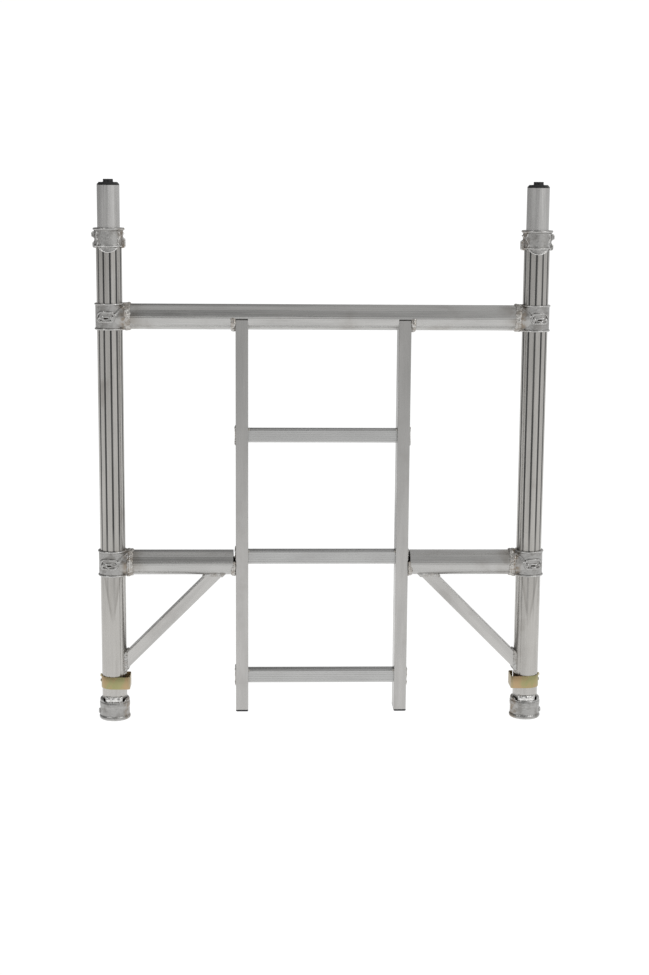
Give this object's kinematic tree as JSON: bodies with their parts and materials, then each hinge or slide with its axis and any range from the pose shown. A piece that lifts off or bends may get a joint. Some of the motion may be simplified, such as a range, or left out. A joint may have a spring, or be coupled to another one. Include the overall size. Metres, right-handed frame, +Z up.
{
  "type": "scaffold tower end frame",
  "caption": "Aluminium access tower end frame: ribbed uprights with spigots, a welded ladder on ledgers, corner braces and sprung lock clips",
  "frame": {"origin": "on the ground, midway between the two uprights", "axes": "+X across the frame towards the right upright as seen from the front, -Y towards the viewer, +Z up"},
  "size_m": [0.9182, 0.0642, 1.0971],
  "materials": {
    "upright_tube": "ribbed extrusion, worn bright",
    "spigot_tube": "plain drawn tube",
    "ledger_tube": "finely ribbed extrusion",
    "stile_tube": "mill finish",
    "rung_extrusion": "grooved extrusion",
    "brace_tube": "mill finish",
    "casting": "sand cast, tumbled",
    "weld_bead": "rippled weld",
    "clip_steel": "yellow passivated zinc",
    "pin_steel": "bright zinc",
    "black_plastic": "moulded black"
  },
  "bodies": {
    "frame": {"top_ledger": "ledger_tube", "rung_upper": "rung_extrusion", "rung_middle": "rung_extrusion", "rung_lower": "rung_extrusion", "left_upright": "upright_tube", "left_spigot": "spigot_tube", "left_spigot_plug": "black_plastic", "left_top_collar": "casting", "left_upper_tee": "casting", "left_lower_tee": "casting", "left_base_collar": "casting", "left_lower_ledger": "ledger_tube", "left_stile": "stile_tube", "left_stile_cap": "black_plastic", "left_brace": "brace_tube", "left_upper_tee_weld": "weld_bead", "left_lower_tee_weld": "weld_bead", "left_stile_head_weld": "weld_bead", "left_ledger_end_weld": "weld_bead", "left_rung_welds": "weld_bead", "left_brace_foot_weld": "weld_bead", "left_brace_head_weld": "weld_bead", "right_upright": "upright_tube", "right_spigot": "spigot_tube", "right_spigot_plug": "black_plastic", "right_top_collar": "casting", "right_upper_tee": "casting", "right_lower_tee": "casting", "right_base_collar": "casting", "right_lower_ledger": "ledger_tube", "right_stile": "stile_tube", "right_stile_cap": "black_plastic", "right_brace": "brace_tube", "right_upper_tee_weld": "weld_bead", "right_lower_tee_weld": "weld_bead", "right_stile_head_weld": "weld_bead", "right_ledger_end_weld": "weld_bead", "right_rung_welds": "weld_bead", "right_brace_foot_weld": "weld_bead", "right_brace_head_weld": "weld_bead"},
    "left_clip": {"left_clip_band": "clip_steel", "left_lock_pin": "pin_steel"},
    "right_clip": {"right_clip_band": "clip_steel", "right_lock_pin": "pin_steel"}
  },
  "joints": [
    {"name": "left_clip_slide", "type": "slide", "parent": "frame", "child": "left_clip", "axis": [-1, 0, 0], "range_m": [0, 0.006], "stiffness_N_per_m": 3000, "springref_m": -0.001},
    {"name": "right_clip_slide", "type": "slide", "parent": "frame", "child": "right_clip", "axis": [1, 0, 0], "range_m": [0, 0.006], "stiffness_N_per_m": 3000, "springref_m": -0.001}
  ]
}
